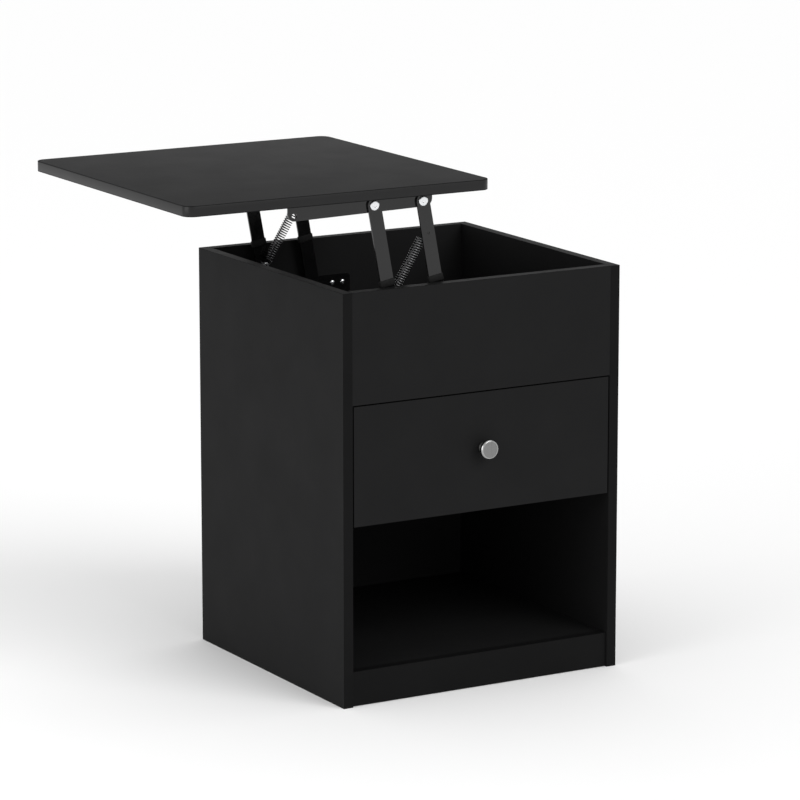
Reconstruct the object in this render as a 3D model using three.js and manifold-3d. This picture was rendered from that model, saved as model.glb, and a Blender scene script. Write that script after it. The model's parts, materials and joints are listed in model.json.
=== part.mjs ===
// Lift-top side table: a cabinet with an open shelf, a drawer and a storage box under a lid that swings
// up and to the left on two parallelogram arm sets. Modelled with the lid raised.
// Millimetres, +Z up. X runs from the cabinet's left face to its right face, Y from its front to its back.
import * as THREE from "three";
import { mergeVertices } from "three/addons/utils/BufferGeometryUtils.js";
import Module from "manifold-3d";

const wasm = await Module();
wasm.setup();

// ---- cabinet ----
const cabinet_width = 448;
const cabinet_depth = 424;
const cabinet_height = 585;
const board = 15;
const shelf_top = 50;
const plinth_recess = 3;
const plinth_floor_gap = 1;
const storage_box_height = 157;

// ---- drawer ----
const drawer_front_height = 169;
const drawer_gap = 2;
const drawer_wall = 12;
const drawer_box_height = 118;
const drawer_box_depth = 360;
const drawer_box_lift = 16;
const drawer_bottom_thickness = 3;
const drawer_bottom_lift = 4;
const slide_space = 13;
const slide_sheet = 1.5;
const slide_height = 35;
const slide_flange = 9;
const slide_play = 3;
const slide_length = 350;
const slide_inset = 2;
const slide_screw_inset = 40;
const knob_rise = 5.5;
const knob_radius = 14;
const knob_face_thickness = 7;
const knob_neck_radius = 6.5;
const knob_reach = 20;
const knob_chamfer = 1.5;
const knob_socket_depth = 10;
const knob_screw_radius = 2;
const knob_screw_head_radius = 4.5;
const knob_screw_head = 2.5;
const knob_screw_tip_play = 1;

// ---- lid ----
const lid_thickness = 15;
const lid_overhang_side = 11;
const lid_overhang_front = 23;
const lid_corner_radius = 15;
const lid_closed_gap = 0.5;
const lid_travel = 237;
const lid_lift = 128.5;

// ---- lift mechanism ----
const arm_open_angle = THREE.MathUtils.degToRad(100.5);
const arm_width = 20.5;
const arm_thickness = 2.5;
const arm_spacing = 77;
const upper_pivot_drop = 15.5;
const open_pivot_x = 63.9;
const bracket_thickness = 2;
const bracket_side = 29;
const bracket_right = 60.5;
const bracket_foot = 16;
const bracket_bar = 32;
const bracket_tab_height = 57;
const bracket_tab_width = 52;
const bracket_corner = 5;
const bracket_screw_drop = 12;
const bracket_screw_inset = 12.75;
const bracket_screw_spacing = 17;
const arm_offset = 7.5;
const rail_thickness = 2;
const rail_gap = 0.5;
const rail_height = 24;
const rail_left_height = 28;
const rail_left_reach = 133;
const rail_right_reach = 93;
const rail_flange = 18;
const rail_corner = 11;
const rail_end_hole_radius = 4;
const rail_end_hole_inset = 10;
const rail_end_hole_drop = 5;
const rail_screw_inset = 24;
const rivet_radius = 3;
const rivet_head_radius = 7;
const rivet_crown_radius = 4.9;
const rivet_head = 1.8;
const rivet_rim = 1.1;
const rivet_tail_radius = 5;
const rivet_tail = 1.5;
const rivet_shoulder_radius = 6;
const stop_pin_radius = 3;
const stop_pin_reach = 30;
const pin_shoulder = 1;
const screw_radius = 1.8;
const screw_head_radius = 3.8;
const screw_crown_radius = 2.3;
const screw_head = 2.2;
const screw_rim = 1.1;
const screw_length = 12;
const pilot_play = 1;

// ---- springs ----
const spring_radius = 7;
const spring_wire = 1.7;
const spring_pitch = 3.5;
const spring_low = 70;
const spring_high = 168;
const spring_offset = 8.5;
const spring_hook_length = 10;
const spring_pin_radius = 2.5;
const spring_pin_head_radius = 3.8;
const spring_pin_head = 1;
const hook_bend = 3.9;
const hook_sweep = THREE.MathUtils.degToRad(288);

// ---- clearances ----
const gap = 0.3;

// ---- fineness of round shapes ----
const pivot_sides = 16;
const knob_sides = 28;
const screw_sides = 10;
const plate_arc_segments = 6;
const lid_arc_segments = 8;
const wire_arc_segments = 2;
const coil_steps_per_turn = 8;
const hook_bend_points = 10;
const hook_steps = 20;

// How far a cutter runs past the face that it opens.
const overshoot = 1;

// Faces that meet are kept on one fine grid, so that they are the same number in 32 bits.
const grid = 64;
const on_grid = (value) => Math.round(value * grid) / grid;

// ---- worked-out places ----
const inner_left = on_grid(board);
const inner_right = on_grid(cabinet_width - board);
const inner_back = on_grid(cabinet_depth - board);
const storage_floor_bottom = cabinet_height - storage_box_height;
const storage_floor_top = storage_floor_bottom + board;
const drawer_front_top = storage_floor_bottom - drawer_gap;
const drawer_front_bottom = drawer_front_top - drawer_front_height;
const drawer_box_bottom = drawer_front_bottom + drawer_box_lift;
const drawer_left = on_grid(inner_left + slide_space);
const drawer_right = on_grid(inner_right - slide_space);
const drawer_box_back = board + drawer_box_depth;
const slide_middle = drawer_box_bottom + drawer_box_height / 2;
const lid_left = -lid_overhang_side - lid_travel;
const lid_bottom = cabinet_height + lid_closed_gap + lid_lift;
const upper_pivot_z = lid_bottom - upper_pivot_drop;
const middle_y = cabinet_depth / 2;

// The arm turns from its open angle to its closed angle while the lid moves by its travel and lift.
const lid_chord = Math.hypot(lid_travel, lid_lift);
const mean_arm_angle = Math.PI / 2 - Math.atan2(lid_lift, lid_travel);
const closing_turn = 2 * (arm_open_angle - mean_arm_angle);
const arm_length = lid_chord / (2 * Math.sin(closing_turn / 2));
const open_direction = new THREE.Vector2(Math.cos(arm_open_angle), Math.sin(arm_open_angle));
const lower_pivot_x = open_pivot_x - arm_length * open_direction.x;
const lower_pivot_z = upper_pivot_z - arm_length * open_direction.y;

// Distances from the board that carries the mechanism, into the cabinet.
const arm_near = bracket_thickness + arm_offset;
const arm_far = arm_near + arm_thickness;
const rail_near = arm_far + rail_gap;
const rail_far = rail_near + rail_thickness;
const spring_plane = arm_far + spring_offset;

// ---- materials ----
const finish = (color, roughness, metalness) => () =>
  new THREE.MeshStandardMaterial({ color, roughness, metalness });
const lid_laminate = finish(0x3f3f40, 0.55, 0);
const board_laminate = finish(0x28282a, 0.6, 0);
const drawer_board = finish(0x1d1d1f, 0.7, 0);
const hardboard = finish(0x2a2622, 0.8, 0);
const painted_steel = finish(0x3a3a3c, 0.45, 0.6);
const slide_steel = finish(0xa9abad, 0.4, 0.9);
const zinc = finish(0xd9dadc, 0.28, 1);
const satin_nickel = finish(0x9a9894, 0.32, 1);

// ---- solids and booleans ----
function to_solid(geometry) {
  const plain = geometry.clone();
  plain.deleteAttribute("normal");
  plain.deleteAttribute("uv");
  const merged = mergeVertices(plain, 1e-5);
  return new wasm.Manifold(
    new wasm.Mesh({
      numProp: 3,
      vertProperties: Float32Array.from(merged.attributes.position.array),
      triVerts: Uint32Array.from(merged.index.array),
    }),
  );
}

function to_geometry(solid) {
  const mesh = solid.getMesh();
  const geometry = new THREE.BufferGeometry();
  geometry.setAttribute("position", new THREE.BufferAttribute(Float32Array.from(mesh.vertProperties), 3));
  geometry.setIndex(new THREE.BufferAttribute(Uint32Array.from(mesh.triVerts), 1));
  geometry.computeVertexNormals();
  return geometry;
}

function cut(geometry, cutters) {
  return to_geometry(cutters.reduce((body, cutter) => body.subtract(to_solid(cutter)), to_solid(geometry)));
}

function join(first, ...others) {
  return to_geometry(others.reduce((body, other) => body.add(to_solid(other)), to_solid(first)));
}

// A box between two corners, each on the grid.
function block(low, high) {
  const [x0, y0, z0] = low.map(on_grid);
  const [x1, y1, z1] = high.map(on_grid);
  const geometry = new THREE.BoxGeometry(x1 - x0, y1 - y0, z1 - z0);
  geometry.translate((x0 + x1) / 2, (y0 + y1) / 2, (z0 + z1) / 2);
  return geometry;
}

// A round rod along Y between two distances from the front.
function rod_y(x, z, radius, y0, y1) {
  const geometry = new THREE.CylinderGeometry(radius, radius, y1 - y0, screw_sides);
  geometry.translate(x, (y0 + y1) / 2, z);
  return geometry;
}

function rod_x(y, z, radius, x0, x1) {
  const geometry = new THREE.CylinderGeometry(radius, radius, x1 - x0, screw_sides);
  geometry.rotateZ(Math.PI / 2);
  geometry.translate((x0 + x1) / 2, y, z);
  return geometry;
}

function rod_z(x, y, radius, z0, z1) {
  const geometry = new THREE.CylinderGeometry(radius, radius, z1 - z0, screw_sides);
  geometry.rotateX(Math.PI / 2);
  geometry.translate(x, y, (z0 + z1) / 2);
  return geometry;
}

// A turned piece about Z: the profile is a list of [radius, height] and starts and ends on the axis.
function turned(profile, sides = pivot_sides) {
  const points = profile.map(([radius, height]) => new THREE.Vector2(radius, height));
  const geometry = new THREE.LatheGeometry(points, sides);
  geometry.rotateX(Math.PI / 2);
  return geometry;
}

// An outline in X and Z, made solid from y0 to y1.
function plate_y(shape, y0, y1) {
  const geometry = new THREE.ExtrudeGeometry(shape, {
    depth: y1 - y0,
    bevelEnabled: false,
    curveSegments: plate_arc_segments,
  });
  geometry.rotateX(Math.PI / 2);
  geometry.translate(0, y1, 0);
  return geometry;
}

function round_hole(x, z, radius) {
  const hole = new THREE.Path();
  hole.absarc(x, z, radius, 0, 2 * Math.PI, true);
  return hole;
}

// ---- assembly ----
const table = new THREE.Group();
table.position.set(-on_grid((lid_left + cabinet_width) / 2), -on_grid(middle_y), 0);

function add(name, geometry, material, parent = table) {
  const mesh = new THREE.Mesh(geometry, material());
  mesh.name = name;
  parent.add(mesh);
  return mesh;
}

// The back mechanism is the front one mirrored across the cabinet's middle.
function mirrored(geometry) {
  const solid = to_solid(geometry).mirror([0, 1, 0]).translate([0, cabinet_depth, 0]);
  return to_geometry(solid);
}

const ends = [
  { end: "front", place: (geometry) => geometry },
  { end: "back", place: mirrored },
];

// ---- fasteners ----
// A pan-head screw whose head rests on Z = 0 and whose shank points along -Z.
function screw_shape(length) {
  const profile = [
    [0, -length],
    [screw_radius, -length + screw_radius],
    [screw_radius, 0],
    [screw_head_radius, 0],
    [screw_head_radius, screw_rim],
    [screw_crown_radius, screw_head],
    [0, screw_head],
  ];
  return turned(profile, screw_sides);
}

const pilot_radius = screw_radius + gap;
const pilot_depth = screw_length + pilot_play;

const bracket_left_x = lower_pivot_x - bracket_side;
const bracket_right_x = lower_pivot_x + arm_spacing + bracket_right;
const bracket_screws = [
  [bracket_left_x + bracket_tab_width / 2, "left"],
  [bracket_right_x - bracket_screw_inset - bracket_screw_spacing, "middle"],
  [bracket_right_x - bracket_screw_inset, "right"],
];
const bracket_bottom = lower_pivot_z - bracket_foot;
const bracket_screw_z = bracket_bottom + bracket_tab_height - bracket_screw_drop;

function board_pilots() {
  const pilot_end = board + bracket_thickness - pilot_depth;
  return bracket_screws.map(([x]) =>
    rod_y(x, bracket_screw_z, pilot_radius, pilot_end, board + overshoot));
}

// ---- cabinet ----
function add_cabinet() {
  const left_pilot_end = inner_left + slide_sheet - pilot_depth;
  const right_pilot_end = inner_right - slide_sheet + pilot_depth;
  const left_side = block([0, 0, 0], [inner_left, cabinet_depth, cabinet_height]);
  const right_side = block([inner_right, 0, 0], [cabinet_width, cabinet_depth, cabinet_height]);
  const left_pilots = slide_screw_places().map((y) =>
    rod_x(y, slide_middle, pilot_radius, left_pilot_end, inner_left + overshoot));
  const right_pilots = slide_screw_places().map((y) =>
    rod_x(y, slide_middle, pilot_radius, inner_right - overshoot, right_pilot_end));
  add("side_panel_left", cut(left_side, left_pilots), board_laminate);
  add("side_panel_right", cut(right_side, right_pilots), board_laminate);
  const back = block([inner_left, inner_back, 0], [inner_right, cabinet_depth, cabinet_height]);
  add("back_panel", cut(back, board_pilots().map(mirrored)), board_laminate);
  const front = block([inner_left, 0, storage_floor_bottom], [inner_right, board, cabinet_height]);
  add("upper_front_panel", cut(front, board_pilots()), board_laminate);
  add(
    "storage_floor",
    block([inner_left, board, storage_floor_bottom], [inner_right, inner_back, storage_floor_top]),
    board_laminate,
  );
  const plinth_back = plinth_recess + board;
  add(
    "bottom_shelf",
    block([inner_left, plinth_back, shelf_top - board], [inner_right, inner_back, shelf_top]),
    board_laminate,
  );
  add(
    "plinth",
    block([inner_left, plinth_recess, plinth_floor_gap], [inner_right, plinth_back, shelf_top]),
    board_laminate,
  );
}

// ---- drawer ----
function slide_screw_places() {
  const slide_front = board + slide_inset;
  return [slide_front + slide_screw_inset, slide_front + slide_length - slide_screw_inset];
}

// A channel along Y with its web on one side and two flanges pointing along `facing`.
function channel(outside, facing, height, flange, y0, y1) {
  const inside = outside + facing * slide_sheet;
  const tip = outside + facing * flange;
  const bottom = slide_middle - height / 2;
  const top = slide_middle + height / 2;
  const outline = new THREE.Shape([
    new THREE.Vector2(outside, bottom),
    new THREE.Vector2(tip, bottom),
    new THREE.Vector2(tip, bottom + slide_sheet),
    new THREE.Vector2(inside, bottom + slide_sheet),
    new THREE.Vector2(inside, top - slide_sheet),
    new THREE.Vector2(tip, top - slide_sheet),
    new THREE.Vector2(tip, top),
    new THREE.Vector2(outside, top),
  ]);
  return plate_y(outline, y0, y1);
}

function add_slides() {
  const slide_front = board + slide_inset;
  const slide_back = slide_front + slide_length;
  const inner_height = slide_height - 2 * slide_sheet - 2 * slide_play;
  const inner_flange = slide_space - slide_sheet - slide_play;
  const sides = [
    { side: "left", wall: inner_left, drawer: drawer_left, facing: 1 },
    { side: "right", wall: inner_right, drawer: drawer_right, facing: -1 },
  ];
  for (const { side, wall, drawer, facing } of sides) {
    const fixed = channel(wall, facing, slide_height, slide_flange, slide_front, slide_back);
    const middle = wall + (facing * slide_sheet) / 2;
    const reach = slide_sheet / 2 + overshoot;
    const holes = slide_screw_places().map((y) =>
      rod_x(y, slide_middle, pilot_radius, middle - reach, middle + reach));
    add(`slide_rail_${side}`, cut(fixed, holes), slide_steel);
    add(
      `slide_runner_${side}`,
      channel(drawer, -facing, inner_height, inner_flange, slide_front, slide_back),
      slide_steel,
    );
    slide_screw_places().forEach((y, index) => {
      const screw = screw_shape(screw_length);
      screw.rotateY((facing * Math.PI) / 2);
      screw.translate(wall + facing * slide_sheet, y, slide_middle);
      add(`slide_screw_${side}_${index + 1}`, screw, zinc);
    });
  }
}

function add_drawer() {
  const top = drawer_box_bottom + drawer_box_height;
  const knob_x = cabinet_width / 2;
  const knob_z = (drawer_front_bottom + drawer_front_top) / 2 + knob_rise;
  const front = block(
    [inner_left + drawer_gap, 0, drawer_front_bottom],
    [inner_right - drawer_gap, board, drawer_front_top],
  );
  const knob_hole = rod_y(knob_x, knob_z, knob_screw_radius + gap, -overshoot, board + overshoot);
  add("drawer_front", cut(front, [knob_hole]), board_laminate);
  const sides = [
    ["left", drawer_left, drawer_left + drawer_wall],
    ["right", drawer_right - drawer_wall, drawer_right],
  ];
  for (const [side, x0, x1] of sides) {
    add(
      `drawer_side_${side}`,
      block([x0, board, drawer_box_bottom], [x1, drawer_box_back, top]),
      drawer_board,
    );
  }
  const box_left = drawer_left + drawer_wall;
  const box_right = drawer_right - drawer_wall;
  const back_front = drawer_box_back - drawer_wall;
  add(
    "drawer_back",
    block([box_left, back_front, drawer_box_bottom], [box_right, drawer_box_back, top]),
    drawer_board,
  );
  const floor_bottom = drawer_box_bottom + drawer_bottom_lift;
  add(
    "drawer_bottom",
    block([box_left, board, floor_bottom], [box_right, back_front, floor_bottom + drawer_bottom_thickness]),
    hardboard,
  );
  add_knob(knob_x, knob_z);
}

function add_knob(x, z) {
  const face_back = knob_reach - knob_face_thickness;
  const profile = [
    [0, knob_socket_depth],
    [knob_screw_radius + gap, knob_socket_depth],
    [knob_screw_radius + gap, 0],
    [knob_neck_radius + knob_chamfer, 0],
    [knob_neck_radius + knob_chamfer, knob_chamfer],
    [knob_neck_radius, 2 * knob_chamfer],
    [knob_neck_radius, face_back - knob_chamfer],
    [knob_radius - knob_chamfer, face_back],
    [knob_radius, face_back + knob_chamfer],
    [knob_radius, knob_reach - knob_chamfer],
    [knob_radius - knob_chamfer, knob_reach],
    [0, knob_reach],
  ];
  const knob = turned(profile, knob_sides);
  knob.rotateX(Math.PI / 2);
  knob.translate(x, 0, z);
  add("drawer_knob", knob, satin_nickel);
  const screw = turned([
    [0, -board - knob_screw_head],
    [knob_screw_head_radius, -board - knob_screw_head],
    [knob_screw_head_radius, -board],
    [knob_screw_radius, -board],
    [knob_screw_radius, knob_socket_depth - knob_screw_tip_play],
    [0, knob_socket_depth - knob_screw_tip_play],
  ]);
  screw.rotateX(Math.PI / 2);
  screw.translate(x, 0, z);
  add("knob_screw", screw, zinc);
}

// ---- lid and its rails ----
const rail_screws = [
  open_pivot_x - rail_left_reach + rail_screw_inset,
  open_pivot_x + rail_right_reach - rail_screw_inset,
];
const rail_screw_y = board + (rail_far + rail_near + rail_flange) / 2;

function add_lid() {
  const right = lid_left + cabinet_width + 2 * lid_overhang_side;
  const [x0, x1] = [lid_left, right].map(on_grid);
  const [y0, y1] = [-lid_overhang_front, cabinet_depth + lid_overhang_front].map(on_grid);
  const r = lid_corner_radius;
  const outline = new THREE.Shape();
  outline.moveTo(x0 + r, y0);
  outline.lineTo(x1 - r, y0);
  outline.absarc(x1 - r, y0 + r, r, -Math.PI / 2, 0);
  outline.absarc(x1 - r, y1 - r, r, 0, Math.PI / 2);
  outline.absarc(x0 + r, y1 - r, r, Math.PI / 2, Math.PI);
  outline.absarc(x0 + r, y0 + r, r, Math.PI, 1.5 * Math.PI);
  const lid = new THREE.ExtrudeGeometry(outline, {
    depth: on_grid(lid_thickness),
    bevelEnabled: false,
    curveSegments: lid_arc_segments,
  });
  lid.translate(0, 0, on_grid(lid_bottom));
  const pilot_end = lid_bottom - rail_thickness + pilot_depth;
  const pilots = rail_screws.map((x) =>
    rod_z(x, rail_screw_y, pilot_radius, lid_bottom - overshoot, pilot_end));
  add("lid_board", cut(lid, [...pilots, ...pilots.map(mirrored)]), lid_laminate);
}

function rail_shape() {
  const x0 = on_grid(open_pivot_x - rail_left_reach);
  const x1 = on_grid(open_pivot_x + rail_right_reach);
  const top = on_grid(lid_bottom);
  const bottom = on_grid(lid_bottom - rail_height);
  const left_bottom = on_grid(lid_bottom - rail_left_height);
  const near = on_grid(board + rail_near);
  const far = on_grid(board + rail_far);
  const outline = new THREE.Shape();
  outline.moveTo(x0 + rail_corner, left_bottom);
  outline.lineTo(x1 - rail_corner, bottom);
  outline.absarc(x1 - rail_corner, bottom + rail_corner, rail_corner, -Math.PI / 2, 0);
  outline.lineTo(x1, top);
  outline.lineTo(x0, top);
  outline.absarc(x0 + rail_corner, left_bottom + rail_corner, rail_corner, Math.PI, 1.5 * Math.PI);
  const hole = rivet_radius + gap;
  outline.holes.push(round_hole(open_pivot_x, upper_pivot_z, hole));
  outline.holes.push(round_hole(open_pivot_x + arm_spacing, upper_pivot_z, hole));
  const end_hole_z = upper_pivot_z - rail_end_hole_drop;
  outline.holes.push(round_hole(x0 + rail_end_hole_inset, end_hole_z, rail_end_hole_radius));
  const web = plate_y(outline, near, far);
  const flange = block(
    [x0, near, top - rail_thickness],
    [x1, board + rail_near + rail_flange, top],
  );
  const holes = rail_screws.map((x) =>
    rod_z(x, rail_screw_y, pilot_radius, top - rail_thickness - overshoot, top + overshoot));
  return cut(join(web, flange), holes);
}

function rail_screw(x) {
  const screw = screw_shape(screw_length);
  screw.rotateX(Math.PI);
  screw.translate(x, rail_screw_y, on_grid(lid_bottom - rail_thickness));
  return screw;
}

// A rivet through arm and rail: a wide head in front of the arm and a smaller one behind the rail.
function upper_rivet(x) {
  const tail_start = rivet_head + gap + arm_thickness + rail_gap + rail_thickness + gap;
  const rivet = turned([
    [0, 0],
    [rivet_crown_radius, 0],
    [rivet_head_radius, rivet_rim],
    [rivet_head_radius, rivet_head],
    [rivet_radius, rivet_head],
    [rivet_radius, tail_start],
    [rivet_tail_radius, tail_start],
    [rivet_tail_radius, tail_start + rivet_tail],
    [0, tail_start + rivet_tail],
  ]);
  rivet.rotateX(-Math.PI / 2);
  rivet.translate(x, board + arm_near - gap - rivet_head, upper_pivot_z);
  return rivet;
}

// ---- base bracket and lower pivots ----
function bracket_shape() {
  const [left, right] = [bracket_left_x, bracket_right_x];
  const bar_top = bracket_bottom + bracket_bar;
  const top = bracket_bottom + bracket_tab_height;
  const r = bracket_corner;
  const outline = new THREE.Shape();
  outline.moveTo(left + r, bracket_bottom);
  outline.lineTo(right - r, bracket_bottom);
  outline.absarc(right - r, bracket_bottom + r, r, -Math.PI / 2, 0);
  outline.absarc(right - r, top - r, r, 0, Math.PI / 2);
  outline.absarc(right - bracket_tab_width + r, top - r, r, Math.PI / 2, Math.PI);
  outline.absarc(right - bracket_tab_width - r, bar_top + r, r, 0, -Math.PI / 2, true);
  outline.absarc(left + bracket_tab_width + r, bar_top + r, r, -Math.PI / 2, -Math.PI, true);
  outline.absarc(left + bracket_tab_width - r, top - r, r, 0, Math.PI / 2);
  outline.absarc(left + r, top - r, r, Math.PI / 2, Math.PI);
  outline.absarc(left + r, bracket_bottom + r, r, Math.PI, 1.5 * Math.PI);
  for (const x of [lower_pivot_x, lower_pivot_x + arm_spacing]) {
    outline.holes.push(round_hole(x, lower_pivot_z, rivet_radius + gap));
  }
  for (const [x] of bracket_screws) {
    outline.holes.push(round_hole(x, bracket_screw_z, pilot_radius));
  }
  const stop = stop_pin_place();
  outline.holes.push(round_hole(stop.x, stop.z, stop_pin_radius - pin_shoulder + gap));
  return plate_y(outline, on_grid(board), on_grid(board + bracket_thickness));
}

// The open arm leans against this pin's side.
function stop_pin_place() {
  const aside = arm_width / 2 + gap + stop_pin_radius;
  return {
    x: lower_pivot_x + stop_pin_reach * open_direction.x - aside * open_direction.y,
    z: lower_pivot_z + stop_pin_reach * open_direction.y + aside * open_direction.x,
  };
}

function stop_pin_shape() {
  const stop = stop_pin_place();
  const pin = turned([
    [0, gap],
    [stop_pin_radius - pin_shoulder, gap],
    [stop_pin_radius - pin_shoulder, bracket_thickness + gap],
    [stop_pin_radius, bracket_thickness + gap],
    [stop_pin_radius, arm_far],
    [0, arm_far],
  ]);
  pin.rotateX(-Math.PI / 2);
  pin.translate(stop.x, board, stop.z);
  return pin;
}

// A shouldered rivet through bracket and arm: its shoulder keeps the arm off the bracket.
function lower_rivet(x) {
  const rivet = turned([
    [0, gap],
    [rivet_radius, gap],
    [rivet_radius, bracket_thickness + gap],
    [rivet_shoulder_radius, bracket_thickness + gap],
    [rivet_shoulder_radius, arm_near - gap],
    [rivet_radius, arm_near - gap],
    [rivet_radius, arm_far + gap],
    [rivet_head_radius, arm_far + gap],
    [rivet_crown_radius, arm_far + gap + rivet_head],
    [0, arm_far + gap + rivet_head],
  ]);
  rivet.rotateX(-Math.PI / 2);
  rivet.translate(x, board, lower_pivot_z);
  return rivet;
}

function bracket_screw(x) {
  const screw = screw_shape(screw_length);
  screw.rotateX(-Math.PI / 2);
  screw.translate(x, board + bracket_thickness, bracket_screw_z);
  return screw;
}

// ---- arms ----
// A flat strip with round ends, standing along +Z from its lower pivot before it is leaned.
function arm_shape(pin_height) {
  const r = arm_width / 2;
  const outline = new THREE.Shape();
  outline.absarc(0, arm_length, r, 0, Math.PI);
  outline.absarc(0, 0, r, Math.PI, 2 * Math.PI);
  const hole = rivet_radius + gap;
  outline.holes.push(round_hole(0, 0, hole));
  outline.holes.push(round_hole(0, arm_length, hole));
  outline.holes.push(round_hole(0, pin_height, spring_pin_radius - pin_shoulder + gap));
  return plate_y(outline, board + arm_near, board + arm_far);
}

// The pin stands on the arm's inner face and carries one spring hook.
function spring_pin_shape(pin_height) {
  const reach = arm_far + spring_offset + spring_wire / 2 + gap;
  const pin = turned([
    [0, arm_near + gap],
    [spring_pin_radius - pin_shoulder, arm_near + gap],
    [spring_pin_radius - pin_shoulder, arm_far + gap],
    [spring_pin_radius, arm_far + gap],
    [spring_pin_radius, reach],
    [spring_pin_head_radius, reach],
    [spring_pin_head_radius, reach + spring_pin_head],
    [0, reach + spring_pin_head],
  ]);
  pin.rotateX(-Math.PI / 2);
  pin.translate(0, board, pin_height);
  return pin;
}

function leaned(geometry, pivot_x) {
  geometry.rotateY(Math.PI / 2 - arm_open_angle);
  geometry.translate(pivot_x, 0, lower_pivot_z);
  return geometry;
}

// ---- springs ----
const low_pin = new THREE.Vector2(lower_pivot_x, lower_pivot_z).addScaledVector(open_direction, spring_low);
const high_pin = new THREE.Vector2(lower_pivot_x + arm_spacing, lower_pivot_z).addScaledVector(
  open_direction,
  spring_high,
);
const spring_span = low_pin.distanceTo(high_pin);
const spring_tilt = Math.atan2(high_pin.x - low_pin.x, high_pin.y - low_pin.y);

// A round wire along a curve, as a closed solid.
function wire(curve, steps) {
  const section = new THREE.Shape();
  section.absarc(0, 0, spring_wire / 2, 0, 2 * Math.PI);
  return new THREE.ExtrudeGeometry(section, {
    extrudePath: curve,
    steps,
    curveSegments: wire_arc_segments,
    bevelEnabled: false,
  });
}

class Coil extends THREE.Curve {
  constructor(radius, turns, start, pitch) {
    super();
    Object.assign(this, { radius, turns, start, pitch });
  }

  getPoint(t, target = new THREE.Vector3()) {
    const angle = t * this.turns * 2 * Math.PI;
    return target.set(
      this.radius * Math.cos(angle),
      this.radius * Math.sin(angle),
      this.start + (this.pitch * angle) / (2 * Math.PI),
    );
  }
}

// The coil stands along +Z from the low pin, centred on the spring's own axis.
const coil_radius = spring_radius - spring_wire / 2;
const coil_length = spring_span - 2 * spring_hook_length;
const coil_turns = Math.round(coil_length / spring_pitch);

function coil_shape() {
  const coil = new Coil(coil_radius, coil_turns, spring_hook_length, coil_length / coil_turns);
  return wire(coil, coil_turns * coil_steps_per_turn);
}

// A hook that runs in from the coil's end, `start` away from the pin at the origin, and bends round that
// pin; `up` is 1 for a coil above the pin and -1 for one below it.
function hook_shape(up, start) {
  const points = [
    new THREE.Vector3(coil_radius, 0, up * start),
    new THREE.Vector3(coil_radius, 0, up * (start - spring_wire)),
  ];
  for (let step = 0; step <= hook_bend_points; step += 1) {
    const angle = (step / hook_bend_points) * hook_sweep;
    points.push(new THREE.Vector3(hook_bend * Math.cos(angle), 0, -up * hook_bend * Math.sin(angle)));
  }
  return wire(new THREE.CatmullRomCurve3(points), hook_steps);
}

function sprung(geometry) {
  geometry.rotateY(spring_tilt);
  geometry.translate(low_pin.x, board + spring_plane, low_pin.y);
  return geometry;
}

// ---- everything in its place ----
function add_mechanism({ end, place }) {
  const put = (name, geometry, material) => add(`${name}_${end}`, place(geometry), material);
  put("base_bracket", bracket_shape(), painted_steel);
  put("stop_pin", stop_pin_shape(), zinc);
  for (const [x, side] of bracket_screws) {
    put(`bracket_screw_${side}`, bracket_screw(x), zinc);
  }
  put("lid_rail", rail_shape(), painted_steel);
  rail_screws.forEach((x, index) => put(`rail_screw_${index + 1}`, rail_screw(x), zinc));
  const arms = [
    { side: "left", x: 0, pin: spring_low },
    { side: "right", x: arm_spacing, pin: spring_high },
  ];
  for (const { side, x, pin } of arms) {
    put(`lower_rivet_${side}`, lower_rivet(lower_pivot_x + x), zinc);
    put(`lift_arm_${side}`, leaned(arm_shape(pin), lower_pivot_x + x), painted_steel);
    put(`spring_pin_${side}`, leaned(spring_pin_shape(pin), lower_pivot_x + x), zinc);
    put(`upper_rivet_${side}`, upper_rivet(open_pivot_x + x), zinc);
  }
  put("spring_coil", sprung(join(coil_shape(), hook_shape(1, spring_hook_length))), zinc);
  const high_hook = hook_shape(-1, spring_hook_length - spring_wire - gap);
  high_hook.translate(0, 0, spring_span);
  put("spring_hook", sprung(high_hook), zinc);
}

add_cabinet();
add_slides();
add_drawer();
add_lid();
ends.forEach(add_mechanism);

export default table;
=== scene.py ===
"""The looks of a lift-top side table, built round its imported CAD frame. Metres, in the frame's own axes:
+X to the table's right, +Y to its back, +Z up. The table stands with its lid raised to the left."""
import json
import math

import bpy
from mathutils import Matrix, Vector

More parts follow.
